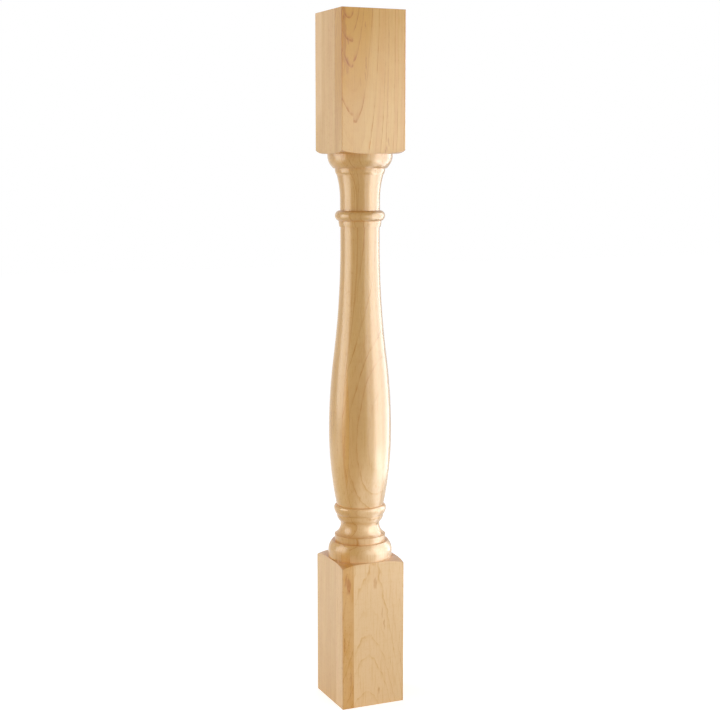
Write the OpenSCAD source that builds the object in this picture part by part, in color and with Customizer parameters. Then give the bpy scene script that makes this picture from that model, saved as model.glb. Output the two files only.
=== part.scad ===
// Turned newel post, square block at each end, turned from one glued-up blank.
// Millimetres, +Z up, origin at the centre of the underside.
// The blank is square. The lathe cuts everything between the two blocks, so the
// post is the blank intersected with one turned envelope. Every turned size is a
// depth of cut, measured inwards from the flat face of the blank.

/* [Blank] */
// Height of the whole post
post_h = 914.4; // [760:0.1:1400]
// Width of the square blank, face to face
post_w = 88.9; // [72:0.1:160]
// Radius that eases the four long corners of the blank
corner_ease = 0.8; // [0.3:0.1:4]

/* [Blocks] */
// Length of the square block at the foot, to the middle of its upper edge
lower_block_h = 196.2; // [90:0.1:260]
// Length of the square block at the top, to the middle of its lower edge
upper_block_h = 181.5; // [90:0.1:260]
// How far the rounded shoulder falls from the mouldings to a block's corner
shoulder_drop = 4.8; // [1:0.1:12]
// How far past the flat faces the level part of the shoulder reaches
shoulder_level = 1; // [0.6:0.1:6]

/* [Upper mouldings] */
// Depth of both ovolos at their widest
ovolo_depth = 1.7; // [0.4:0.1:3.5]
// Height of the upper ovolo
upper_ovolo_h = 18.6; // [14:0.1:30]
// Upright part of the upper ovolo, against the block
upper_ovolo_face_h = 1.2; // [0.5:0.1:8]
// How far the upper ovolo is drawn in where it stops
upper_ovolo_taper = 8; // [3:0.1:9.6]
// Height of the collar under the upper ovolo
upper_collar_h = 8; // [5:0.1:14]
// Depth of the upper collar where it is widest
upper_collar_depth = 11.4; // [9.8:0.1:14]
// How far the upper collar is drawn in where it is narrowest
upper_collar_taper = 2.1; // [0.5:0.1:4]
// Step between each collar and the hollow it runs into
quirk = 0.3; // [0.1:0.1:1.2]
// Height of the cavetto that runs down to the necking
cavetto_h = 33; // [15:0.1:60]
// Height of the plain necking above the astragal
necking_h = 13.4; // [4:0.1:40]
// Depth of the necking
necking_depth = 18.3; // [15.2:0.1:22]
// Height of the astragal above its widest line
astragal_upper_h = 6.8; // [5:0.1:10]
// Height of the astragal below its widest line
astragal_lower_h = 7; // [5:0.1:10]
// Depth of the astragal at its widest
astragal_depth = 11.5; // [9:0.1:15]
// Height of the collar under the astragal
neck_collar_h = 7.6; // [3:0.1:14]
// Depth of the collar where it meets the astragal
neck_collar_depth = 16.3; // [13:0.1:20]
// How far the neck collar is drawn in where it meets the vase
neck_collar_taper = 1.1; // [0.3:0.1:2]

/* [Vase] */
// Depth of the vase's slender neck
neck_depth = 18.6; // [15.5:0.1:23]
// Straight part of the neck, under the collar
neck_straight_h = 22; // [5:0.1:80]
// Height of the vase's widest line above its foot
belly_h = 100; // [60:0.1:160]
// Depth of the vase at its widest line
belly_depth = 3; // [0.5:0.1:10]
// Depth of the vase at its foot
vase_foot_depth = 13; // [10.8:0.1:17]
// Share of the curve from belly to neck that swells outwards
ogee_share = 0.4; // [0.2:0.01:0.8]

/* [Lower mouldings] */
// Height of the bead above its widest line
bead_upper_h = 4.5; // [3.5:0.1:8]
// Height of the bead below its widest line
bead_lower_h = 8.9; // [5:0.1:12]
// Depth of the bead at its widest
bead_depth = 9.6; // [8:0.1:12]
// Height of the collar under the bead
lower_collar_h = 8.1; // [4:0.1:14]
// Depth of the lower collar where it meets the bead
lower_collar_depth = 13.1; // [10.9:0.1:16]
// How far the lower collar is drawn in where it meets the scotia
lower_collar_taper = 3; // [1:0.1:4]
// How far the scotia's throat is cut in behind the lip of the collar
scotia_undercut = 2.1; // [0.5:0.1:4]
// Height of the scotia above its throat
scotia_upper_h = 5.4; // [3:0.1:12]
// Height of the scotia below its throat
scotia_lower_h = 14.1; // [10:0.1:24]
// Height of the fillet under the scotia
fillet_h = 8.6; // [3:0.1:16]
// Depth of the fillet
fillet_depth = 10.4; // [8.6:0.1:13]
// Height of the lower ovolo
lower_ovolo_h = 21.8; // [14:0.1:34]
// Upright part of the lower ovolo, against the block
lower_ovolo_face_h = 9; // [0.5:0.1:12]
// How far the lower ovolo is drawn in where it meets the fillet
lower_ovolo_taper = 5.2; // [2:0.1:6.5]

/* [Hidden] */
maple = [0.87, 0.73, 0.55];
// Facets of the turned surfaces, and of the long slow curves of the vase
turn_facets = 180;
curve_facets = 900;
$fn = turn_facets;

// Distance from the axis to a blank's flat face, to its corner, and to
// somewhere well clear of the blank
flat_r = post_w / 2;
corner_r = flat_r * sqrt(2);
outside_r = post_w;

// Radius left by a cut of a given depth
function cut_r(depth) = flat_r - depth;

// Depths that follow from their neighbours
upper_ovolo_end_depth = ovolo_depth + upper_ovolo_taper;
upper_lip_depth = upper_collar_depth + upper_collar_taper;
cavetto_depth = upper_lip_depth + quirk;
neck_lip_depth = neck_collar_depth + neck_collar_taper;
lower_ovolo_end_depth = ovolo_depth + lower_ovolo_taper;
lower_lip_depth = lower_collar_depth + lower_collar_taper;
scotia_lip_depth = lower_lip_depth + quirk;
throat_depth = scotia_lip_depth + scotia_undercut;

// Radius of an arc that starts upright and moves `side` across in `rise`
function arc_r(rise, side) = (rise * rise + side * side) / (2 * side);

// Heights of the upper mouldings, from the block down to the vase
upper_block_z = post_h - upper_block_h;
upper_ovolo_z = upper_block_z - upper_ovolo_h;
upper_collar_z = upper_ovolo_z - upper_collar_h;
necking_top_z = upper_collar_z - cavetto_h;
astragal_top_z = necking_top_z - necking_h;
astragal_z = astragal_top_z - astragal_upper_h;
neck_collar_top_z = astragal_z - astragal_lower_h;
vase_top_z = neck_collar_top_z - neck_collar_h;

// Heights of the lower mouldings, from the block up to the vase
fillet_z = lower_block_h + lower_ovolo_h;
scotia_z = fillet_z + fillet_h;
throat_z = scotia_z + scotia_lower_h;
lower_collar_z = throat_z + scotia_upper_h;
bead_bottom_z = lower_collar_z + lower_collar_h;
bead_z = bead_bottom_z + bead_lower_h;
vase_foot_z = bead_z + bead_upper_h;

// The vase fills what is left. Its ogee is two arcs that share one tangent, so
// height and depth are shared between them in the same proportion.
belly_z = vase_foot_z + belly_h;
neck_z = vase_top_z - neck_straight_h;
ogee_z = belly_z + ogee_share * (neck_z - belly_z);
ogee_depth = belly_depth + ogee_share * (neck_depth - belly_depth);

// Straight band of the outline, from one height to another
module band(z_a, z_b, r) {
    translate([0, min(z_a, z_b)])
        square([r, abs(z_b - z_a)]);
}

// Rounded stretch: upright at its wide end, drawn in towards its narrow end
module swell(z_wide, r_wide, z_narrow, r_narrow, facets = turn_facets) {
    rise = abs(z_narrow - z_wide);
    arc = arc_r(rise, r_wide - r_narrow);
    band(z_wide, z_narrow, r_narrow);
    intersection() {
        band(z_wide, z_narrow, r_wide);
        translate([r_wide - arc, z_wide])
            circle(r = arc, $fn = facets);
    }
}

// Hollow stretch: upright at its narrow end, flared towards its wide end
module hollow(z_narrow, r_narrow, z_wide, r_wide, facets = turn_facets) {
    rise = abs(z_wide - z_narrow);
    arc = arc_r(rise, r_wide - r_narrow);
    difference() {
        band(z_narrow, z_wide, r_wide);
        translate([r_narrow + arc, z_narrow])
            circle(r = arc, $fn = facets);
    }
}

// Envelope of one block: its inner end is level beside the mouldings, then
// rounds over and is lower by shoulder_drop at the corners
module block_outline(block_h) {
    level_r = flat_r + shoulder_level;
    arc = arc_r(corner_r - level_r, shoulder_drop);
    band(0, block_h, level_r);
    band(0, block_h - shoulder_drop, outside_r);
    intersection() {
        band(0, block_h, outside_r);
        translate([level_r, block_h - arc])
            circle(r = arc);
    }
}

// Ovolo, collar, cavetto, necking, astragal and neck collar
module upper_mouldings() {
    ovolo_face_z = upper_block_z - upper_ovolo_face_h;
    band(upper_block_z, ovolo_face_z, cut_r(ovolo_depth));
    swell(ovolo_face_z, cut_r(ovolo_depth), upper_ovolo_z, cut_r(upper_ovolo_end_depth));
    swell(upper_ovolo_z, cut_r(upper_collar_depth), upper_collar_z, cut_r(upper_lip_depth));
    hollow(necking_top_z, cut_r(necking_depth), upper_collar_z, cut_r(cavetto_depth), curve_facets);
    band(necking_top_z, astragal_top_z, cut_r(necking_depth));
    swell(astragal_z, cut_r(astragal_depth), astragal_top_z, cut_r(necking_depth));
    swell(astragal_z, cut_r(astragal_depth), neck_collar_top_z, cut_r(neck_collar_depth));
    swell(neck_collar_top_z, cut_r(neck_collar_depth), vase_top_z, cut_r(neck_lip_depth));
}

// Long vase: straight neck, ogee, belly and the curve in to the foot
module vase() {
    band(neck_z, vase_top_z, cut_r(neck_depth));
    hollow(neck_z, cut_r(neck_depth), ogee_z, cut_r(ogee_depth), curve_facets);
    swell(belly_z, cut_r(belly_depth), ogee_z, cut_r(ogee_depth), curve_facets);
    swell(belly_z, cut_r(belly_depth), vase_foot_z, cut_r(vase_foot_depth), curve_facets);
}

// Bead, collar, scotia, fillet and ovolo
module lower_mouldings() {
    ovolo_face_z = lower_block_h + lower_ovolo_face_h;
    swell(bead_z, cut_r(bead_depth), vase_foot_z, cut_r(vase_foot_depth));
    swell(bead_z, cut_r(bead_depth), bead_bottom_z, cut_r(lower_collar_depth));
    swell(bead_bottom_z, cut_r(lower_collar_depth), lower_collar_z, cut_r(lower_lip_depth));
    hollow(throat_z, cut_r(throat_depth), lower_collar_z, cut_r(scotia_lip_depth));
    hollow(throat_z, cut_r(throat_depth), scotia_z, cut_r(fillet_depth));
    band(scotia_z, fillet_z, cut_r(fillet_depth));
    swell(ovolo_face_z, cut_r(ovolo_depth), fillet_z, cut_r(lower_ovolo_end_depth));
    band(lower_block_h, ovolo_face_z, cut_r(ovolo_depth));
}

// Everything the lathe leaves, as one solid of revolution
module turned_envelope() {
    rotate_extrude() {
        block_outline(lower_block_h);
        lower_mouldings();
        vase();
        upper_mouldings();
        translate([0, post_h])
            mirror([0, 1])
                block_outline(upper_block_h);
    }
}

// Square blank with its long corners eased
module blank() {
    inner = post_w - 2 * corner_ease;
    linear_extrude(post_h) {
        square([post_w, inner], center = true);
        square([inner, post_w], center = true);
        for (x = [-1, 1], y = [-1, 1]) {
            translate([x * inner / 2, y * inner / 2])
                circle(r = corner_ease, $fn = 32);
        }
    }
}

// The post, turned from one blank
module newel_post() {
    color(maple)
        intersection() {
            blank();
            turned_envelope();
        }
}

newel_post();
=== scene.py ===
# %% [markdown]
# # A turned newel post in clear maple
#
# The post is one piece, glued up from maple boards, square at both ends and turned on
# a lathe in between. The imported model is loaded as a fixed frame, which gives the true
# size and place. The frame's own mesh is coarse, because it was made for measuring, so
# the post is turned again here at a finer pitch and takes its place.

# %% Load the frame
import math
import bmesh
import bpy
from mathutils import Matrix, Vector


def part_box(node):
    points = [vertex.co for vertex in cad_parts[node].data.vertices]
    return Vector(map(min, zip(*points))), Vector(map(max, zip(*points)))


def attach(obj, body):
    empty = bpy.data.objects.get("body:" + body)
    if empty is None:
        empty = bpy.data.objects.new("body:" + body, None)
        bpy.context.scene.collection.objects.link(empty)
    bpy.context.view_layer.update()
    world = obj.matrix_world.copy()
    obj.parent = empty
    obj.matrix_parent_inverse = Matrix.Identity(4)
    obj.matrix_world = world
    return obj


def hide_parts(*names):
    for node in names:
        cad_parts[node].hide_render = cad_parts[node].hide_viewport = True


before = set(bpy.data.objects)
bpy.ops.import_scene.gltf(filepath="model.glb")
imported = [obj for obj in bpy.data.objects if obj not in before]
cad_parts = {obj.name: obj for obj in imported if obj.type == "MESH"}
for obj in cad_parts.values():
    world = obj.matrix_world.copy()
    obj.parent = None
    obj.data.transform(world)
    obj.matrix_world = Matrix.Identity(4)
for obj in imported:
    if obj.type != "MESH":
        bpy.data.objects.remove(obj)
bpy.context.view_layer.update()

low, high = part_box("newel_post")
post_h = high.z - low.z
post_w = high.x - low.x
print(f"frame: {post_w * 1000:.1f} mm square, {post_h * 1000:.1f} mm tall")

# %% [markdown]
# ## Sizes
#
# The height and the width come from the frame. A turner works from the blank's
# flat face inwards, so every other size is a depth of cut or a height between two
# cuts. They are in millimetres here, as on a turner's rod, and `mm` makes metres.

# %% Sizes of the blocks and the mouldings
mm = 0.001
corner_ease = 0.8 * mm
end_ease = 0.35 * mm

lower_block_h = 196.2 * mm
upper_block_h = 181.5 * mm
shoulder_drop = 4.8 * mm
shoulder_level = 1.0 * mm

ovolo_depth = 1.7 * mm
upper_ovolo_h = 18.6 * mm
upper_ovolo_face_h = 1.2 * mm
upper_ovolo_taper = 8.0 * mm
upper_collar_h = 8.0 * mm
upper_collar_depth = 11.4 * mm
upper_collar_taper = 2.1 * mm
quirk = 0.3 * mm
cavetto_h = 33.0 * mm
necking_h = 13.4 * mm
necking_depth = 18.3 * mm
astragal_upper_h = 6.8 * mm
astragal_lower_h = 7.0 * mm
astragal_depth = 11.5 * mm
neck_collar_h = 7.6 * mm
neck_collar_depth = 16.3 * mm
neck_collar_taper = 1.1 * mm

neck_depth = 18.6 * mm
neck_straight_h = 22.0 * mm
belly_h = 100.0 * mm
belly_depth = 3.0 * mm
vase_foot_depth = 13.0 * mm
ogee_share = 0.4

bead_upper_h = 4.5 * mm
bead_lower_h = 8.9 * mm
bead_depth = 9.6 * mm
lower_collar_h = 8.1 * mm
lower_collar_depth = 13.1 * mm
lower_collar_taper = 3.0 * mm
scotia_undercut = 2.1 * mm
scotia_upper_h = 5.4 * mm
scotia_lower_h = 14.1 * mm
fillet_h = 8.6 * mm
fillet_depth = 10.4 * mm
lower_ovolo_h = 21.8 * mm
lower_ovolo_face_h = 9.0 * mm
lower_ovolo_taper = 5.2 * mm
print(f"blocks: {lower_block_h / mm:.1f} mm tall at the foot, {upper_block_h / mm:.1f} mm at the top")

# %% [markdown]
# ## The outline
#
# A turning is an outline carried round an axis. The outline is drawn with a pen:
# one loose vertex that is extruded for a straight cut and spun about a centre for
# a round one. A swell is upright at its widest line and rolls in from there. A
# hollow is upright at its narrowest line and flares out from there. Both are one
# circular arc, so the rise and the sideways move settle its radius.

# %% A pen that draws straight and round cuts
arc_pitch = 2.6 * mm
arc_turn = math.radians(6)


def straight_to(mesh, pen, r, z):
    """Extrudes the pen to a new radius and height."""
    pen = bmesh.ops.extrude_vert_indiv(mesh, verts=[pen])["verts"][0]
    pen.co = (r, 0, z)
    return pen


def spin_to(mesh, pen, centre, r, z):
    """Spins the pen about a centre to a new radius and height."""
    start = pen.co - centre
    end = Vector((r, 0, z)) - centre
    turn = math.atan2(start.z * end.x - start.x * end.z, start.x * end.x + start.z * end.z)
    arc_length = abs(turn) * end.length
    steps = max(3, math.ceil(abs(turn) / arc_turn), math.ceil(arc_length / arc_pitch))
    spun = bmesh.ops.spin(mesh, geom=[pen], cent=centre, axis=(0, 1, 0), angle=turn, steps=steps)
    pen = next(part for part in spun["geom_last"] if isinstance(part, bmesh.types.BMVert))
    pen.co = (r, 0, z)
    return pen


def round_to(mesh, pen, r, z, upright):
    """Draws a round cut to a new radius and height, upright at its "start" or its "end"."""
    rise, side = abs(z - pen.co.z), abs(r - pen.co.x)
    radius = (rise * rise + side * side) / (2 * side)
    if upright == "end":
        centre = Vector((r + math.copysign(radius, pen.co.x - r), 0, z))
    else:
        centre = Vector((pen.co.x + math.copysign(radius, r - pen.co.x), 0, pen.co.z))
    return spin_to(mesh, pen, centre, r, z)


print(f"pen: at most {math.degrees(arc_turn):.0f} degrees and {arc_pitch / mm:.1f} mm a step")

# %% [markdown]
# ## Radii and heights
#
# Cuts are stacked from both blocks towards the middle, and the vase fills what is
# left. The long curve of the vase is two arcs that meet at one tangent, which
# they do when height and depth are shared between them in the same proportion.
# The blocks are turned too wide at first, so that a plane has wood to cut.

# %% Stack the mouldings
flat_r = post_w / 2
too_wide = 1.6
outside_r = flat_r * too_wide
level_r = flat_r + shoulder_level
corner_r = flat_r * math.sqrt(2)


def cut_r(depth):
    """The radius that a depth of cut leaves."""
    return flat_r - depth


fillet_z = lower_block_h + lower_ovolo_h
scotia_z = fillet_z + fillet_h
throat_z = scotia_z + scotia_lower_h
lower_collar_z = throat_z + scotia_upper_h
bead_bottom_z = lower_collar_z + lower_collar_h
bead_z = bead_bottom_z + bead_lower_h
vase_foot_z = bead_z + bead_upper_h

upper_block_z = post_h - upper_block_h
upper_ovolo_z = upper_block_z - upper_ovolo_h
upper_collar_z = upper_ovolo_z - upper_collar_h
necking_top_z = upper_collar_z - cavetto_h
astragal_top_z = necking_top_z - necking_h
astragal_z = astragal_top_z - astragal_upper_h
neck_collar_top_z = astragal_z - astragal_lower_h
vase_top_z = neck_collar_top_z - neck_collar_h

belly_z = vase_foot_z + belly_h
neck_z = vase_top_z - neck_straight_h
ogee_z = belly_z + ogee_share * (neck_z - belly_z)
ogee_depth = belly_depth + ogee_share * (neck_depth - belly_depth)
print(f"vase: foot at {vase_foot_z:.4f} m, belly at {belly_z:.4f} m, neck at {neck_z:.4f} m")


# %% Draw one block with its shoulder
def block(mesh, end_z, inner_z):
    """Draws a block from its sawn end to its level inner ring, rounding the shoulder over."""
    up = math.copysign(1, inner_z - end_z)
    corner_z = inner_z - up * shoulder_drop
    arc = ((corner_r - level_r) ** 2 + shoulder_drop ** 2) / (2 * shoulder_drop)
    centre = Vector((level_r, 0, inner_z - up * arc))
    pen = mesh.verts.new((outside_r, 0, end_z))
    pen = straight_to(mesh, pen, outside_r, corner_z)
    pen = straight_to(mesh, pen, corner_r, corner_z)
    return spin_to(mesh, pen, centre, level_r, inner_z)


print(f"shoulder: falls {shoulder_drop / mm:.1f} mm over {(corner_r - level_r) / mm:.1f} mm")

# %% Draw the whole outline, from the foot up
turned = bmesh.new()
pen = block(turned, 0, lower_block_h)
pen = straight_to(turned, pen, cut_r(ovolo_depth), lower_block_h)
pen = straight_to(turned, pen, cut_r(ovolo_depth), lower_block_h + lower_ovolo_face_h)
pen = round_to(turned, pen, cut_r(ovolo_depth + lower_ovolo_taper), fillet_z, "start")
pen = straight_to(turned, pen, cut_r(fillet_depth), fillet_z)
pen = straight_to(turned, pen, cut_r(fillet_depth), scotia_z)
lower_lip_depth = lower_collar_depth + lower_collar_taper
throat_depth = lower_lip_depth + quirk + scotia_undercut
pen = round_to(turned, pen, cut_r(throat_depth), throat_z, "end")
pen = round_to(turned, pen, cut_r(lower_lip_depth + quirk), lower_collar_z, "start")
pen = straight_to(turned, pen, cut_r(lower_lip_depth), lower_collar_z)
pen = round_to(turned, pen, cut_r(lower_collar_depth), bead_bottom_z, "end")
pen = round_to(turned, pen, cut_r(bead_depth), bead_z, "end")
pen = round_to(turned, pen, cut_r(vase_foot_depth), vase_foot_z, "start")

pen = round_to(turned, pen, cut_r(belly_depth), belly_z, "end")
pen = round_to(turned, pen, cut_r(ogee_depth), ogee_z, "start")
pen = round_to(turned, pen, cut_r(neck_depth), neck_z, "end")
pen = straight_to(turned, pen, cut_r(neck_depth), vase_top_z)

pen = straight_to(turned, pen, cut_r(neck_collar_depth + neck_collar_taper), vase_top_z)
pen = round_to(turned, pen, cut_r(neck_collar_depth), neck_collar_top_z, "end")
pen = round_to(turned, pen, cut_r(astragal_depth), astragal_z, "end")
pen = round_to(turned, pen, cut_r(necking_depth), astragal_top_z, "start")
pen = straight_to(turned, pen, cut_r(necking_depth), necking_top_z)
upper_lip_depth = upper_collar_depth + upper_collar_taper
pen = round_to(turned, pen, cut_r(upper_lip_depth + quirk), upper_collar_z, "start")
pen = straight_to(turned, pen, cut_r(upper_lip_depth), upper_collar_z)
pen = round_to(turned, pen, cut_r(upper_collar_depth), upper_ovolo_z, "end")
pen = straight_to(turned, pen, cut_r(ovolo_depth + upper_ovolo_taper), upper_ovolo_z)
pen = round_to(turned, pen, cut_r(ovolo_depth), upper_block_z - upper_ovolo_face_h, "end")
pen = straight_to(turned, pen, cut_r(ovolo_depth), upper_block_z)
upper_pen = block(turned, post_h, upper_block_z)
turned.edges.new((pen, upper_pen))
print("outline:", len(turned.verts), "points")

# %% [markdown]
# ## Turning it
#
# The outline is spun round the axis in one full turn, and `use_merge` joins the
# last step to the first. The ends are still open rings, so each is filled with one
# flat face, which makes a closed solid ready to be planed.

# %% Spin the outline
spin_steps = 240
seam_gap = 0.001 * mm
bmesh.ops.spin(
    turned, geom=turned.verts[:] + turned.edges[:], cent=(0, 0, 0), axis=(0, 0, 1),
    angle=math.tau, steps=spin_steps, use_merge=True,
)
bmesh.ops.remove_doubles(turned, verts=turned.verts, dist=seam_gap)
open_edges = [edge for edge in turned.edges if edge.is_boundary]
bmesh.ops.holes_fill(turned, edges=open_edges, sides=0)
bmesh.ops.recalc_face_normals(turned, faces=turned.faces)
print("turned:", len(turned.faces), "faces, open edges left:", sum(e.is_boundary for e in turned.edges))

# %% [markdown]
# ## Planing the four flats
#
# On the real post the square comes first and the lathe cuts into it. In a mesh the
# same shape comes more cleanly the other way round: the blocks are turned too
# large, and four planes cut them square. The curved shoulder then meets each flat
# in its true curve, with nothing to work out. Two planes can leave a sliver where
# they meet, so points that nearly touch are welded, and each corner is one edge.

# %% Plane the flats
plane_gap = 0.0001 * mm
corner_gap = 0.002 * mm
for side in ((1, 0, 0), (0, 1, 0), (-1, 0, 0), (0, -1, 0)):
    normal = Vector(side)
    cut = bmesh.ops.bisect_plane(
        turned, geom=turned.verts[:] + turned.edges[:] + turned.faces[:], dist=plane_gap,
        plane_co=normal * flat_r, plane_no=normal, clear_outer=True,
    )
    rim = [edge for edge in cut["geom_cut"] if isinstance(edge, bmesh.types.BMEdge) and edge.is_boundary]
    bmesh.ops.holes_fill(turned, edges=rim, sides=0)
bmesh.ops.remove_doubles(turned, verts=turned.verts, dist=corner_gap)
bmesh.ops.recalc_face_normals(turned, faces=turned.faces)
print("planed:", len(turned.faces), "faces, open edges left:", sum(e.is_boundary for e in turned.edges))

# %% Ease the long corners and the sawn ends
flat_area = 50 * mm * 50 * mm
corner_steps = 4
end_steps = 2
level_normal = 0.99


def climb(edge):
    """How far an edge climbs, from its lower end to its upper end."""
    return abs(edge.verts[0].co.z - edge.verts[1].co.z)


def ease(mesh, edges, radius, segments):
    """Rounds edges over, as two strokes of fine paper do."""
    bmesh.ops.bevel(
        mesh, geom=edges, offset=radius, offset_type="OFFSET", segments=segments,
        profile=0.5, affect="EDGES", material=-1, clamp_overlap=True,
    )
    print("eased", len(edges), "edges")


flats = {face for face in turned.faces if face.calc_area() > flat_area}
long_corners = [e for e in turned.edges if flats.issuperset(e.link_faces) and climb(e) > flat_r]
ease(turned, long_corners, corner_ease, corner_steps)
ends = {f for f in turned.faces if f.calc_area() > flat_area and abs(f.normal.z) > level_normal}
end_rims = [edge for edge in turned.edges if not ends.isdisjoint(edge.link_faces)]
ease(turned, end_rims, end_ease, end_steps)

# %% [markdown]
# ## Smooth skin, crisp quirks
#
# The turning is smooth to the eye, while the quirks, the shoulders and the rims of
# the flats are crisp. An edge is kept sharp where its faces turn by more than about a
# quarter of a right angle, and where a flat meets the eased corner, so the broad
# flats keep their own true normal.

# %% Mark the sharp edges and make the piece
crisp = math.radians(22)
flats = {face for face in turned.faces if face.calc_area() > flat_area}
for face in turned.faces:
    face.smooth = True
for edge in turned.edges:
    edge.smooth = edge.calc_face_angle(0) < crisp and flats.isdisjoint(edge.link_faces)
post_mesh = bpy.data.meshes.new("newel_post_turned")
turned.to_mesh(post_mesh)
turned.free()
post = bpy.data.objects.new("newel_post_turned", post_mesh)
bpy.context.scene.collection.objects.link(post)
post_mesh.calc_loop_triangles()
print("post:", len(post_mesh.loop_triangles), "triangles")

# %% [markdown]
# ## Maple, from the log outwards
#
# Grain that is painted on a surface gives itself away where two faces meet. Here
# the wood is solid: every point knows which stave it is in and how far it lies from
# that stave's pith, so growth rings run through faces, mouldings and sawn ends as
# they do in a real log. Flat-sawn faces show cathedrals, quartered faces show
# straight lines and small ray flecks, and the ends show arcs.
#
# All of it reads object coordinates, scaled to millimetres.

# %% Start the material, with short names for its nodes
maple = bpy.data.materials.new("clear_maple")
maple.use_nodes = True
tree = maple.node_tree
tree.nodes.clear()


def feed(node, name, value):
    """Links a socket to an input, or sets a plain value on it."""
    if isinstance(value, bpy.types.NodeSocket):
        tree.links.new(value, node.inputs[name])
    elif value is not None:
        node.inputs[name].default_value = value


def calc(operation, a, b=None, c=None):
    """One step of arithmetic."""
    node = tree.nodes.new("ShaderNodeMath")
    node.operation = operation
    for place, value in enumerate((a, b, c)):
        feed(node, place, value)
    return node.outputs[0]


def product(first, *others):
    """Several values multiplied together."""
    for other in others:
        first = calc("MULTIPLY", first, other)
    return first


def ramp(value, start, end, low=0.0, high=1.0):
    """A smooth climb from low to high as a value goes from start to end."""
    node = tree.nodes.new("ShaderNodeMapRange")
    node.interpolation_type = "SMOOTHSTEP"
    feed(node, "Value", value)
    feed(node, "From Min", start)
    feed(node, "From Max", end)
    feed(node, "To Min", low)
    feed(node, "To Max", high)
    return node.outputs["Result"]


def between(value, start, full, fade, end, most):
    """Climbs to most as a value goes from start to full, and falls from fade to end."""
    return calc("MINIMUM", ramp(value, start, full, 0.0, most), ramp(value, fade, end, most, 0.0))


def noise(place, size, detail=2.0, roughness=0.5, shift=(0, 0, 0)):
    """Soft noise whose lumps measure size = (x, y, z) in millimetres."""
    stretch = tree.nodes.new("ShaderNodeMapping")
    feed(stretch, "Vector", place)
    stretch.inputs["Location"].default_value = shift
    stretch.inputs["Scale"].default_value = [1 / length for length in size]
    node = tree.nodes.new("ShaderNodeTexNoise")
    feed(node, "Vector", stretch.outputs[0])
    node.inputs["Scale"].default_value = 1.0
    node.inputs["Detail"].default_value = detail
    node.inputs["Roughness"].default_value = roughness
    return node.outputs["Fac"]


def tint(colour, amount, other):
    """Mixes one colour towards another by an amount from 0 to 1."""
    node = tree.nodes.new("ShaderNodeMix")
    node.data_type = "RGBA"
    feed(node, "Factor", amount)
    feed(node, "A", colour)
    feed(node, "B", other)
    return node.outputs["Result"]


def stain(colour, amount, through):
    """Darkens a colour by an amount from 0 to 1, as if seen through another colour."""
    node = tint(colour, amount, through).node
    node.blend_type = "MULTIPLY"
    return node.outputs["Result"]


def paint(red, green, blue):
    """A colour given from 0 to 255 as it looks on a screen, as the light it stands for."""
    light = []
    for level in (red / 255, green / 255, blue / 255):
        light.append(level / 12.92 if level <= 0.04045 else ((level + 0.055) / 1.055) ** 2.4)
    return (*light, 1.0)


print("started", maple.name)

# %% [markdown]
# ## Staves and glue lines
#
# A post this thick is glued up, because a solid square would split as it dried.
# Three boards lie behind one another, and the front board has a narrow edge stave
# at the near corner. Each stave is its own wood, with its own pith and colour. Along
# the upper block the front joint was a little short of glue, and shows as fine ticks.

# %% Find the stave that each point lies in
where = tree.nodes.new("ShaderNodeTexCoord")
to_mm = tree.nodes.new("ShaderNodeVectorMath")
to_mm.operation = "SCALE"
feed(to_mm, "Vector", where.outputs["Object"])
to_mm.inputs["Scale"].default_value = 1 / mm
split = tree.nodes.new("ShaderNodeSeparateXYZ")
feed(split, 0, to_mm.outputs[0])
x, y, z = split.outputs

front_glue_y = -22.0
back_glue_y = 12.0
edge_glue_x = -28.5
past_front = calc("GREATER_THAN", y, front_glue_y)
past_back = calc("GREATER_THAN", y, back_glue_y)
in_front = calc("SUBTRACT", 1.0, past_front)
in_edge = calc("MULTIPLY", in_front, calc("LESS_THAN", x, edge_glue_x))


def by_stave(edge, front, middle, back):
    """A value for the edge stave, then for the boards from front to back."""
    value = calc("MULTIPLY_ADD", past_front, middle - front, front)
    value = calc("MULTIPLY_ADD", in_edge, edge - front, value)
    return calc("MULTIPLY_ADD", past_back, back - middle, value)


def away_from(value, middle):
    """How far a value lies from a middle, whichever the side."""
    return calc("ABSOLUTE", calc("SUBTRACT", value, middle))


def seam(across, plane, half_width):
    """A fine line on both sides of a glue plane."""
    return ramp(away_from(across, plane), half_width, half_width / 3)


edge_half_width = 0.3
front_half_width = 0.45
back_half_width = 0.35
tick_half_width = 1.0
edge_seam_fades_z = (800.0, 760.0)
ticks_start_z = (750.0, 790.0)
edge_seam = product(in_front, seam(x, edge_glue_x, edge_half_width), ramp(z, *edge_seam_fades_z, 0.1, 0.6))
glue_line = calc("MAXIMUM", seam(y, front_glue_y, front_half_width), edge_seam)
glue_line = calc("MAXIMUM", glue_line, product(seam(y, back_glue_y, back_half_width), 0.4))
tick = ramp(noise(to_mm.outputs[0], (6, 6, 4), 1.0), 0.45, 0.55)
starved_glue = product(seam(y, front_glue_y, tick_half_width), tick, ramp(z, *ticks_start_z, 0.0, 0.45))

apart = tree.nodes.new("ShaderNodeCombineXYZ")
feed(apart, "X", by_stave(40, 0, 310, 720))
feed(apart, "Y", by_stave(90, 0, -170, 260))
feed(apart, "Z", by_stave(200, 0, 940, -1300))
in_board = tree.nodes.new("ShaderNodeVectorMath")
in_board.operation = "ADD"
feed(in_board, 0, to_mm.outputs[0])
feed(in_board, 1, apart.outputs[0])
board = in_board.outputs[0]
print("boards part at y =", front_glue_y, "and", back_glue_y, "mm")
print("edge stave parts at x =", edge_glue_x, "mm")

# %% [markdown]
# ## Growth rings
#
# A ring is a tube round the pith. Where the pith leans away from a flat-sawn face,
# the face cuts the tubes into nested points, the cathedrals. The front board's pith
# is deepest about a quarter of the way up the post, so its cathedrals hang down above
# that height and stand up below it. In the middle board the pith is far to one
# side, so the narrow left face is quartered and its lines are straight.

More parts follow.
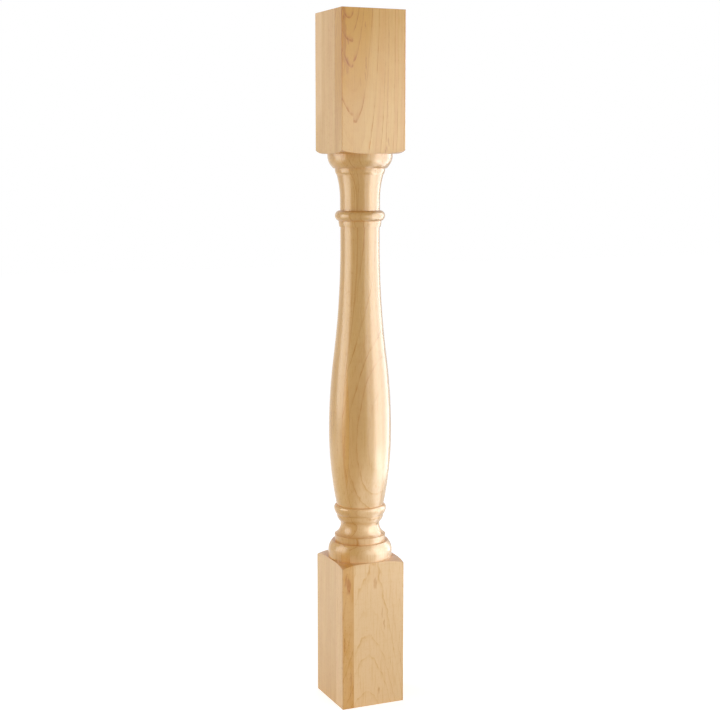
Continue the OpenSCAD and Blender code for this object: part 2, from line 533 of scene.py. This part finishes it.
# %% Measure how far a point lies from its pith
deepest_z = 250.0
deepest = 26.0
rise = calc("SUBTRACT", z, deepest_z)
bow_below = -1 / 2300
bow_above = -1 / 9000
bow = product(rise, rise, ramp(rise, -1.0, 1.0, bow_below, bow_above))
straightest_z = 185.0
drift_slope = -0.0466
drift = product(away_from(z, straightest_z), drift_slope)
pith_x = calc("MULTIPLY_ADD", in_front, drift, by_stave(-1, -1, -70, 14))
pith_y = calc("MULTIPLY_ADD", in_front, bow, by_stave(deepest, deepest, 190, -40))
from_x = calc("SUBTRACT", x, pith_x)
from_y = calc("SUBTRACT", y, pith_y)
radius = calc("SQRT", calc("ADD", calc("MULTIPLY", from_x, from_x), calc("MULTIPLY", from_y, from_y)))


def sway(size, amount, shift=(0, 0, 0), coordinates=None):
    """A gentle wander of the rings, up to half the amount each way."""
    wander = calc("SUBTRACT", noise(coordinates or board, size, 1.0, shift=shift), 0.5)
    return product(wander, amount)


print("front pith is deepest,", deepest, "mm behind the axis, at", deepest_z, "mm")

# %% Let the rings wander as they do in a real log
radius = calc("ADD", radius, sway((75, 75, 260), 5.0))
radius = calc("ADD", radius, sway((24, 24, 80), 2.4, (3, 5, 7)))
rippled_z = (420.0, 120.0)
ripple = product(sway((7, 7, 11), 2.4, (9, 2, 4)), ramp(z, *rippled_z, 0.25, 1.0))
radius = calc("ADD", radius, ripple)
edge_shift_z = (650.0, 250.0)
edge_shift = 6.5
radius = calc("MULTIPLY_ADD", in_edge, ramp(z, *edge_shift_z, 0.0, edge_shift), radius)

ring_width = by_stave(4.2, 4.2, 2.6, 3.6)
first_ring = 0.53
rings = calc("ADD", calc("DIVIDE", radius, ring_width), first_ring)
ring_number = calc("FLOOR", rings)
through_ring = calc("FRACT", rings)
print("rings set; the material has", len(tree.nodes), "nodes so far")

# %% [markdown]
# ## Ring lines, bands and flecks
#
# Maple has quiet rings: each one darkens slowly and ends in a thin brown line, and
# only some of those lines are strong. Chance picks how strong each ring's line is. The
# colour drifts with the rings from cream to rose, and the wood near the pith is a
# darker honey. Rays show as short flecks where they lie in the surface.

# %% Draw the lines and the flecks
chance = tree.nodes.new("ShaderNodeTexWhiteNoise")
chance.noise_dimensions = "1D"
chance_seeds = (1584, 1584, 5400, 6900)
feed(chance, "W", calc("ADD", ring_number, by_stave(*chance_seeds)))
line_strength = ramp(chance.outputs["Value"], 0.25, 0.9, 0.12, 1.0)
long_fade = ramp(noise(board, (11, 11, 130), 1.0, shift=(1, 8, 3)), 0.34, 0.56, 0.35, 1.0)
dashes = ramp(noise(board, (5, 5, 17), 2.0, shift=(5, 1, 6)), 0.38, 0.66, 0.55, 1.35)
line_end = ramp(through_ring, 1.0, 0.95)
line_blush = product(calc("POWER", ramp(through_ring, 0.45, 0.93), 3.0), 0.45)
line_core = ramp(through_ring, 0.84, 0.93, 0.0, 0.55)
ring_line = product(calc("ADD", line_blush, line_core), line_end, line_strength, long_fade, dashes)

mm_per_radian = 60.0
bearing = product(calc("ARCTAN2", from_y, from_x), mm_per_radian)
along_ray = tree.nodes.new("ShaderNodeCombineXYZ")
for name, value in (("X", radius), ("Y", bearing), ("Z", z)):
    feed(along_ray, name, value)
fleck = ramp(noise(along_ray.outputs[0], (4, 1.1, 3.2), 1.0), 0.62, 0.70)
grown = noise(along_ray.outputs[0], (7, 260, 700), 2.0, shift=(3, 1, 1))

fibre = noise(board, (1.3, 1.3, 42), 3.0, 0.6)
mottle = noise(board, (13, 13, 34), 2.0, shift=(6, 1, 2))
broad_band = ramp(noise(board, (30, 30, 420), 1.0, shift=(7, 3, 9)), 0.38, 0.62)
curl = noise(board, (22, 22, 5), 1.0, shift=(8, 8, 2))
print("lines and flecks set; the material has", len(tree.nodes), "nodes so far")

# %% [markdown]
# ## Mineral streaks and pin knots
#
# This wood isn't select grade: the front has a few small brown strokes, where minerals were drawn up in
# the sap, a darker streak down the near corner at the top, and pin knots near the foot. They are listed
# one by one, each as a blot whose edge is roughened along the fibre.

# %% Set the streaks on the front face
streaks = (
    # across, up, half width, half height, strength
    (-34.6, 162.5, 1.3, 2.2, 1.0),
    (-35.5, 168.0, 3.2, 13.0, 0.55),
    (-39.5, 176.0, 2.6, 9.0, 0.45),
    (2.5, 168.0, 3.0, 9.0, 0.4),
    (-41.5, 88.0, 1.2, 14.0, 0.45),
    (-32.5, 35.0, 1.2, 22.0, 0.35),
    (15.6, 110.0, 0.9, 10.0, 0.4),
    (13.0, 128.0, 0.9, 9.0, 0.35),
    (8.4, 20.0, 0.9, 8.0, 0.45),
    (-42.0, 902.0, 1.3, 4.0, 0.7),
    (-36.0, 872.0, 1.6, 5.0, 0.45),
    (-37.0, 842.0, 3.0, 11.0, 0.35),
    (-12.0, 891.0, 1.0, 7.0, 0.5),
    (-10.8, 846.0, 1.1, 11.0, 0.5),
    (-12.0, 829.0, 1.1, 6.0, 0.5),
    (-18.8, 822.5, 1.0, 5.0, 0.45),
    (20.3, 747.5, 1.6, 6.0, 0.5),
    (17.5, 737.5, 2.2, 3.5, 0.5),
    (-40.6, 888.0, 2.8, 66.0, 0.42),
    (20.5, 880.0, 0.8, 34.0, 0.3),
    (19.5, 805.0, 0.8, 38.0, 0.25),
)
ragged_x = calc("ADD", x, sway((3, 3, 9), 4.0, (2, 9, 9), to_mm.outputs[0]))
ragged_z = calc("ADD", z, sway((1.2, 1.2, 40), 18.0, (5, 5, 1), to_mm.outputs[0]))
streak = 0.0
for across, up, half_width, half_height, strength in streaks:
    off_x = calc("DIVIDE", calc("SUBTRACT", ragged_x, across), half_width)
    off_z = calc("DIVIDE", calc("SUBTRACT", ragged_z, up), half_height)
    off = calc("ADD", calc("MULTIPLY", off_x, off_x), calc("MULTIPLY", off_z, off_z))
    streak = calc("MAXIMUM", streak, ramp(off, 1.0, 0.35, 0.0, strength))
streak = calc("MAXIMUM", product(streak, in_front), starved_glue)
print("streaks and pin knots:", len(streaks))

# %% [markdown]
# ## Colours of the wood
#
# Maple under clear lacquer is cream with a rose cast. It is honey near the pith and paler away from it.
# This post isn't one colour from end to end either: its top and its near corner have turned amber, the
# vase is a shade deeper, and the edge stave is tan. Two tints stand for light rather than wood. The front
# board is painted paler over the lower block and the lower vase, which is painted sheen. The right side of
# the vase is painted darker, which is painted shade. Each colour is laid over the last by an amount from 0
# to 1, so one tint can be changed and the others stay. A span with x, y or z in its name says where a
# colour starts and where it is full, in millimetres, and a span of four also says where it fades and where
# it ends. The ring lines go on last, as a stain that deepens the colour under it, as late wood does.

# %% Name the colours
cream = paint(217, 177, 109)
rose = paint(215, 170, 105)
pale_wood_and_sheen = paint(240, 202, 150)
honey = paint(198, 148, 75)
toast_and_shade = paint(195, 151, 84)
amber = paint(200, 147, 46)
tan = paint(207, 149, 52)
late_wood = paint(221, 183, 0)
mineral = paint(205, 150, 0)
umber = paint(172, 98, 4)
print("cream as light:", [round(level, 3) for level in cream[:3]])

# %% Mix the colours that follow the rings
heart_radius = (43.0, 36.0)
heart_z = (280.0, 350.0)
heart = product(ramp(radius, *heart_radius), in_front)
wood = tint(cream, ramp(grown, 0.40, 0.60), rose)
wood = tint(wood, product(broad_band, 0.3), honey)
wood = tint(wood, product(through_ring, 0.14), honey)
wood = tint(wood, ramp(mottle, 0.35, 0.65, 0.0, 0.2), honey)
wood = tint(wood, product(heart, ramp(z, *heart_z, 0.1, 0.5)), honey)
print("ring colours mixed; the material has", len(tree.nodes), "nodes so far")

# %% Lay over the colours that change along the post
shoulder = lower_block_h / mm
upper_block = upper_block_z / mm
face = flat_r / mm
pale_skin = 2.4


def inside_left(on_face):
    """1 within the wood, and less on the left face itself, where the tan and the painted sheen are laid on
    more thinly.
    """
    return ramp(x, -face, pale_skin - face, on_face, 1.0)


# The front board is painted paler over the lower vase, from just left of its middle to the right, and over
# the lower block. This is painted sheen, the reflection of the white floor, and not a paler wood.
painted_sheen_foot_x = (-24.0, -10.0)
painted_sheen_foot_z = (370.0, 290.0)
painted_sheen_block_z = (shoulder + 14.0, shoulder + 1.0)
pale_back_y = (18.0, 26.0)
pale_back_z = (760.0, 800.0)
painted_sheen_foot = product(ramp(z, *painted_sheen_foot_z, 0.0, 0.82), ramp(x, *painted_sheen_foot_x))
painted_sheen_block = product(ramp(z, *painted_sheen_block_z, 0.0, 0.9), inside_left(0.3))
painted_sheen_front = product(calc("MAXIMUM", painted_sheen_foot, painted_sheen_block), in_front)
pale_back = product(ramp(y, *pale_back_y, 0.0, 0.4), ramp(z, *pale_back_z))
# The pale colour is painted sheen on the front board, and a paler wood on the back board at the top.
wood = tint(wood, calc("MAXIMUM", painted_sheen_front, pale_back), pale_wood_and_sheen)

# The vase is a shade deeper all round, and deeper still on its right side. That extra darkening on the
# right is painted shade.
painted_shade_right_x = (8.0, 26.0)
deeper_and_shaded_vase_z = (295.0, 385.0, upper_block - 3.0, upper_block + 9.0)
deeper_and_shaded_vase = between(z, *deeper_and_shaded_vase_z, 1.0)
wood = tint(wood, product(deeper_and_shaded_vase, ramp(x, *painted_shade_right_x, 0.6, 0.95)), toast_and_shade)
honey_ovolo_x = (0.0, -20.0)
honey_ovolo_z = (188.0, 203.0, 253.0, 268.0)
wood = tint(wood, product(between(z, *honey_ovolo_z, 0.5), ramp(x, *honey_ovolo_x)), honey)

amber_top_z = (762.0, 850.0)
amber_foot_z = (130.0, 0.0)
amber_corner_x = (-33.0, -42.0)
amber_corner_z = (770.0, 850.0)
amber_top = product(ramp(z, *amber_top_z), calc("MULTIPLY_ADD", heart, 0.4, 0.45), in_front)
amber_foot = product(ramp(z, *amber_foot_z, 0.0, 0.55), past_front)
wood = tint(wood, calc("MAXIMUM", amber_top, amber_foot), amber)
amber_corner = product(ramp(x, *amber_corner_x), ramp(z, *amber_corner_z, 0.0, 0.75), in_front)
wood = tint(wood, amber_corner, amber)

tan_block_z = (shoulder + 19.0, shoulder + 4.0)
tan_vase_middle_z = 430.0
tan_vase_reach = (190.0, 90.0)
tan_block = ramp(z, *tan_block_z, 0.0, 0.85)
tan_vase = ramp(away_from(z, tan_vase_middle_z), *tan_vase_reach, 0.12, 0.55)
tan_figure = ramp(mottle, 0.35, 0.65, 1.0, 0.7)
tan_amount = product(calc("MAXIMUM", tan_block, tan_vase), inside_left(0.25), tan_figure)
wood = tint(wood, product(tan_amount, calc("MAXIMUM", in_edge, product(past_back, 0.4))), tan)
print("long colours laid; the material has", len(tree.nodes), "nodes so far")

# %% Draw the lines over the colours
vase_starts_z = (200.0, 215.0)
vase_ends_z = (730.0, 745.0)
foot_depth = by_stave(0.55, 0.45, 1.1, 0.6)
vase_depth = 0.6
top_extra = by_stave(0.65, 0.65, 0.9, 0.6)
line_depth = ramp(z, *vase_starts_z, foot_depth, vase_depth)
line_depth = calc("ADD", line_depth, ramp(z, *vase_ends_z, 0.0, top_extra))
wood = stain(wood, product(ring_line, line_depth), late_wood)
wood = stain(wood, ramp(fibre, 0.5, 0.68, 0.0, 0.26), late_wood)
wood = stain(wood, ramp(curl, 0.5, 0.7, 0.0, 0.05), late_wood)
wood = stain(wood, product(fleck, by_stave(0.4, 0.15, 0.2, 0.15)), late_wood)
wood = stain(wood, product(glue_line, 0.4), late_wood)
wood = stain(wood, streak, mineral)

along_corner = calc("MINIMUM", calc("ABSOLUTE", x), calc("ABSOLUTE", y))
top = post_h / mm
arris_reach = (face - 1.2, face - 0.5)
arris_deeper_z = (780.0, 840.0)
top_rim_z = (top - 0.7, top - 0.2)
arris = product(ramp(along_corner, *arris_reach), ramp(z, *arris_deeper_z, 0.3, 0.8))
arris = calc("MAXIMUM", arris, ramp(z, *top_rim_z, 0.0, 0.35))
wood = tint(wood, arris, umber)
print("lines drawn; the material has", len(tree.nodes), "nodes so far")

# %% [markdown]
# ## End grain and sheen
#
# The sawn ends and the shoulders show end grain, which drinks more finish and looks darker and duller. The
# darkening is set deeper than end grain alone would make it, so it is partly painted shade, on the
# shoulder rings and on every face of the mouldings that looks up or down. Long grain is sanded fine, so it
# has a satin sheen, and a trace of its fibre can still be felt, which is the bump.

# %% Build the shader
facing = tree.nodes.new("ShaderNodeSeparateXYZ")
feed(facing, 0, where.outputs["Normal"])
end_grain_and_shade_slope = (0.55, 0.95)
end_grain_and_shade = ramp(calc("ABSOLUTE", facing.outputs["Z"]), *end_grain_and_shade_slope)
# End grain, deepened further as painted shade on the faces that look up or down.
wood = tint(wood, product(end_grain_and_shade, 0.42), umber)

satin = (0.30, 0.37)
end_grain_dulls = 0.2
fibre_rise = 0.5
line_drop = 0.3
dull = calc("MULTIPLY_ADD", end_grain_and_shade, end_grain_dulls, ramp(fibre, 0.3, 0.7, *satin))
height = calc("SUBTRACT", product(fibre, fibre_rise), product(ring_line, line_drop))
bump = tree.nodes.new("ShaderNodeBump")
bump.inputs["Strength"].default_value = 0.35
bump.inputs["Distance"].default_value = 0.05 * mm
feed(bump, "Height", height)

shader = tree.nodes.new("ShaderNodeBsdfPrincipled")
feed(shader, "Base Color", wood)
feed(shader, "Roughness", dull)
feed(shader, "Normal", bump.outputs[0])
shader.inputs["Specular IOR Level"].default_value = 0.2
shader.inputs["Coat Weight"].default_value = 0.7
shader.inputs["Coat Roughness"].default_value = 0.19
output = tree.nodes.new("ShaderNodeOutputMaterial")
feed(output, "Surface", shader.outputs[0])
post_mesh.materials.append(maple)
print("maple:", len(tree.nodes), "nodes")

# %% [markdown]
# ## Tying it to the frame
#
# The turned mesh stands for the frame's node and rides on the one body.

# %% Tie the piece to the frame
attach(post, "root")
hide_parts("newel_post")
print(post.name, "rides on root and stands for newel_post")

# %% [markdown]
# ## A white room
#
# The floor is plain white and goes on past the view. It has a little glow of its own
# that only the camera, gloss and glass see, so it blends with the white world and
# still shows the soft shadow at the foot of the post.

# %% Lay the floor
def seen():
    """1 for a ray from the camera, straight, by a gloss or through glass, and 0 for light."""
    path = tree.nodes.new("ShaderNodeLightPath")
    gloss_or_glass = calc("MAXIMUM", path.outputs["Is Glossy Ray"], path.outputs["Is Transmission Ray"])
    return calc("MAXIMUM", path.outputs["Is Camera Ray"], gloss_or_glass)


floor_reach = 8.0
floor_mesh = bmesh.new()
bmesh.ops.create_grid(floor_mesh, x_segments=1, y_segments=1, size=floor_reach)
floor_data = bpy.data.meshes.new("floor")
floor_mesh.to_mesh(floor_data)
floor_mesh.free()
floor = bpy.data.objects.new("floor", floor_data)
bpy.context.scene.collection.objects.link(floor)

white = bpy.data.materials.new("white_floor")
white.use_nodes = True
tree = white.node_tree
tree.nodes.clear()
paper = tree.nodes.new("ShaderNodeBsdfDiffuse")
floor_white = 0.8
floor_glow = 0.545
paper.inputs["Color"].default_value = (floor_white, floor_white, floor_white, 1)
glow = tree.nodes.new("ShaderNodeEmission")
glow.inputs["Color"].default_value = (1, 1, 1, 1)
feed(glow, "Strength", product(seen(), floor_glow))
both = tree.nodes.new("ShaderNodeAddShader")
feed(both, 0, paper.outputs[0])
feed(both, 1, glow.outputs[0])
output = tree.nodes.new("ShaderNodeOutputMaterial")
feed(output, "Surface", both.outputs[0])
floor_data.materials.append(white)
print("floor:", 2 * floor_reach, "m square")

# %% Light the world
world = bpy.data.worlds.new("white_room")
bpy.context.scene.world = world
world.use_nodes = True
tree = world.node_tree
tree.nodes.clear()
sky = tree.nodes.new("ShaderNodeBackground")
sky.inputs["Color"].default_value = (1, 1, 1, 1)
room_light = 0.58
feed(sky, "Strength", calc("MULTIPLY_ADD", seen(), 1.0 - room_light, room_light))
output = tree.nodes.new("ShaderNodeOutputWorld")
feed(output, "Surface", sky.outputs[0])
print("room light:", room_light, "of white")

# %% [markdown]
# ## Soft boxes and camera
#
# The square faces have to be lit evenly, while the lacquer on the turning shows a
# narrow sheen on the left, with a crisp inner edge, and a broad one on the right.
# One lamp can't do both, so two wide fills shade the wood and give no reflection,
# while the soft boxes lay their sheen on the lacquer and add no shade. Two cards lie
# on the floor and shine upwards, for the sheen on the lower side of each swell. A
# box's level is how bright it looks, so its power grows with its area. The Standard
# view shows each colour as it was mixed.

# %% Place the camera, whose bearing is in radians
camera_bearing = -0.412660
camera_distance = 1.8894
camera_height = 0.7152
camera_dip = math.radians(7.633)
camera_data = bpy.data.cameras.new("camera")
camera_data.lens = 71.77
camera_data.sensor_width = 36
camera = bpy.data.objects.new("camera", camera_data)
bpy.context.scene.collection.objects.link(camera)
towards = Vector((-math.sin(camera_bearing), math.cos(camera_bearing), 0))
camera.location = towards * -camera_distance + Vector((0, 0, camera_height))
look = towards * math.cos(camera_dip) - Vector((0, 0, math.sin(camera_dip)))
camera.rotation_euler = look.to_track_quat("-Z", "Y").to_euler()
bpy.context.scene.camera = camera
print("camera at", [round(value, 3) for value in camera.location])

# %% Hang the soft boxes
upright_box = 0
facing_up = 90


def soft_box(name, bearing, distance, width, height, middle_z, level, gives, lean):
    """A soft box facing the post. Its bearing turns from the camera's side to the right."""
    lamp = bpy.data.lights.new(name, "AREA")
    lamp.shape = "RECTANGLE"
    lamp.size = width
    lamp.size_y = height
    lamp.energy = level * math.pi * width * height
    box = bpy.data.objects.new(name, lamp)
    bpy.context.scene.collection.objects.link(box)
    angle = camera_bearing + math.radians(bearing)
    away = Vector((math.sin(angle), -math.cos(angle), 0))
    box.location = away * distance + Vector((0, 0, middle_z))
    box.rotation_euler = (math.radians(90 + lean), 0, angle)
    box.visible_camera = False
    box.visible_glossy = gives == "sheen"
    box.visible_diffuse = gives == "shade"
    print(name, "at", [round(value, 2) for value in box.location])


just_above_floor = 0.001
soft_boxes = (
    # name, bearing in degrees, distance, width, height, middle_z, level, gives, lean in degrees
    ("front_fill", 18, 1.5, 1.6, 0.8, 0.4, 1.48, "shade", upright_box),
    ("left_fill", -105, 1.6, 1.0, 1.4, 0.5, 2.9, "shade", upright_box),
    ("left_box", -76, 0.9, 0.70, 0.78, 0.66, 4.4, "sheen", upright_box),
    ("left_low_box", -76, 0.9, 0.70, 0.22, 0.16, 1.3, "sheen", upright_box),
    ("right_box", 95, 0.75, 1.3, 1.3, 0.67, 5.7, "sheen", upright_box),
    ("right_glow", 58, 0.95, 1.2, 0.93, 0.485, 3.2, "sheen", upright_box),
    ("floor_card", 80, 0.90, 0.60, 0.80, just_above_floor, 4.5, "sheen", facing_up),
    ("near_floor_card", 94, 0.34, 0.22, 0.34, just_above_floor, 4.0, "sheen", facing_up),
)
for lamp_sizes in soft_boxes:
    soft_box(*lamp_sizes)
bpy.context.scene.view_settings.view_transform = "Standard"
